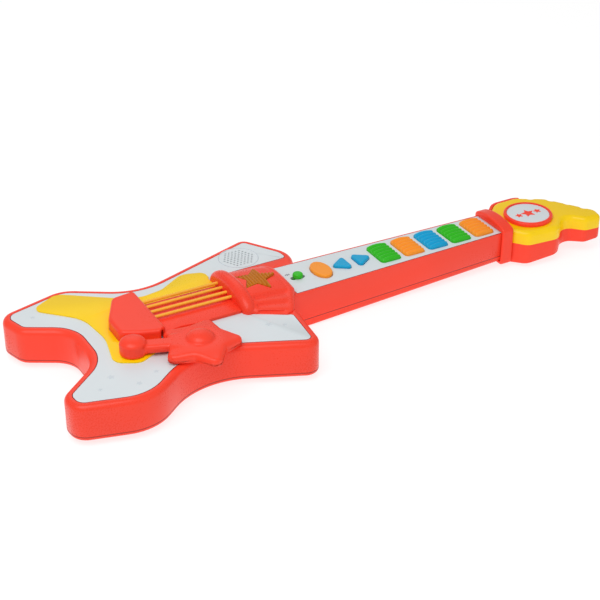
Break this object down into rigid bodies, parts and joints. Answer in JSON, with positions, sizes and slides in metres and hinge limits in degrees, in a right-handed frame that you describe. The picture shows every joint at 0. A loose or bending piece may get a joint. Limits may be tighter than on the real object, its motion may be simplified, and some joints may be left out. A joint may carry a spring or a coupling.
{
  "type": "toy electric guitar",
  "caption": "Toy electric guitar lying on its back: horned body with a star whammy bar, fluted neck cover with a star lens, keyed neck and scalloped head.",
  "frame": {"origin": "on the back's rest plane, on the neck's centre line, where the neck leaves the joint cover", "axes": "+X along the neck towards the head, +Z out of the face"},
  "size_m": [0.4887, 0.1692, 0.0455],
  "materials": {
    "red_plastic": "satin gloss",
    "white_plastic": "satin gloss",
    "yellow_plastic": "satin gloss",
    "orange_plastic": "satin gloss",
    "green_plastic": "satin gloss",
    "blue_plastic": "satin gloss",
    "string_plastic": "pearl",
    "amber_lens": "clear, ribbed",
    "circuit_board": "satin",
    "black_part": "matt",
    "clear_lamp": "clear",
    "key_rubber": "matt",
    "steel_part": "zinc plated",
    "spring_steel": "bright",
    "magnet_iron": "plated",
    "cone_paper": "matt",
    "cell_can": "printed sleeve"
  },
  "bodies": {
    "body": {"front_shell": "red_plastic", "back_shell": "red_plastic", "bridge_block": "red_plastic", "string_base": "red_plastic", "joint_cover": "red_plastic", "nut_collar": "red_plastic", "head_base": "red_plastic", "badge_ring": "red_plastic", "face_panel": "white_plastic", "finger_panel": "white_plastic", "badge_disc": "white_plastic", "pickguard": "yellow_plastic", "head_cover": "yellow_plastic", "string_1": "string_plastic", "string_2": "string_plastic", "string_3": "string_plastic", "string_4": "string_plastic", "star_lens": "amber_lens", "slide_switch": "black_part", "sound_chip": "black_part", "bar_switches": "black_part", "speaker_ring": "black_part", "switch_board": "circuit_board", "key_board": "circuit_board", "main_board": "circuit_board", "lamp_board": "circuit_board", "bar_board": "circuit_board", "key_mat": "key_rubber", "star_lamp": "clear_lamp", "case_screws": "steel_part", "head_screws": "steel_part", "speaker_basket": "steel_part", "cell_contacts": "spring_steel", "whammy_spring": "spring_steel", "speaker_magnet": "magnet_iron", "speaker_cone": "cone_paper", "cells": "cell_can"},
    "whammy": {"whammy_bar": "red_plastic", "whammy_cam": "black_part", "whammy_screw": "steel_part"},
    "door": {"battery_door": "red_plastic", "door_screw": "steel_part"},
    "slider": {"power_slider": "green_plastic"},
    "oval": {"oval_button": "orange_plastic"},
    "arrow_1": {"arrow_button_1": "blue_plastic"},
    "arrow_2": {"arrow_button_2": "blue_plastic"},
    "note_1": {"key_1": "green_plastic"},
    "note_2": {"key_2": "orange_plastic"},
    "note_3": {"key_3": "blue_plastic"},
    "note_4": {"key_4": "green_plastic"},
    "note_5": {"key_5": "orange_plastic"}
  },
  "joints": [
    {"name": "whammy_swing", "type": "hinge", "parent": "body", "child": "whammy", "pos_m": [-0.097, -0.0585, 0.033], "axis": [0, 0, 1], "range_deg": [-4, 8], "stiffness_Nm_per_rad": 0.3},
    {"name": "key_1_press", "type": "slide", "parent": "body", "child": "note_1", "axis": [0, 0, -1], "range_m": [0, 0.0015], "stiffness_N_per_m": 600, "springref_m": -0.001},
    {"name": "key_2_press", "type": "slide", "parent": "body", "child": "note_2", "axis": [0, 0, -1], "range_m": [0, 0.0015], "stiffness_N_per_m": 600, "springref_m": -0.001},
    {"name": "key_3_press", "type": "slide", "parent": "body", "child": "note_3", "axis": [0, 0, -1], "range_m": [0, 0.0015], "stiffness_N_per_m": 600, "springref_m": -0.001},
    {"name": "key_4_press", "type": "slide", "parent": "body", "child": "note_4", "axis": [0, 0, -1], "range_m": [0, 0.0015], "stiffness_N_per_m": 600, "springref_m": -0.001},
    {"name": "key_5_press", "type": "slide", "parent": "body", "child": "note_5", "axis": [0, 0, -1], "range_m": [0, 0.0015], "stiffness_N_per_m": 600, "springref_m": -0.001},
    {"name": "oval_press", "type": "slide", "parent": "body", "child": "oval", "axis": [0, 0, -1], "range_m": [0, 0.0015], "stiffness_N_per_m": 600, "springref_m": -0.001},
    {"name": "arrow_1_press", "type": "slide", "parent": "body", "child": "arrow_1", "axis": [0, 0, -1], "range_m": [0, 0.0015], "stiffness_N_per_m": 600, "springref_m": -0.001},
    {"name": "arrow_2_press", "type": "slide", "parent": "body", "child": "arrow_2", "axis": [0, 0, -1], "range_m": [0, 0.0015], "stiffness_N_per_m": 600, "springref_m": -0.001},
    {"name": "power_slide", "type": "slide", "parent": "body", "child": "slider", "axis": [1, 0, 0], "range_m": [-0.0035, 0.0035]},
    {"name": "door_swing", "type": "hinge", "parent": "body", "child": "door", "pos_m": [-0.0422, -0.003, 0], "axis": [0, -1, 0], "range_deg": [0, 95]}
  ]
}
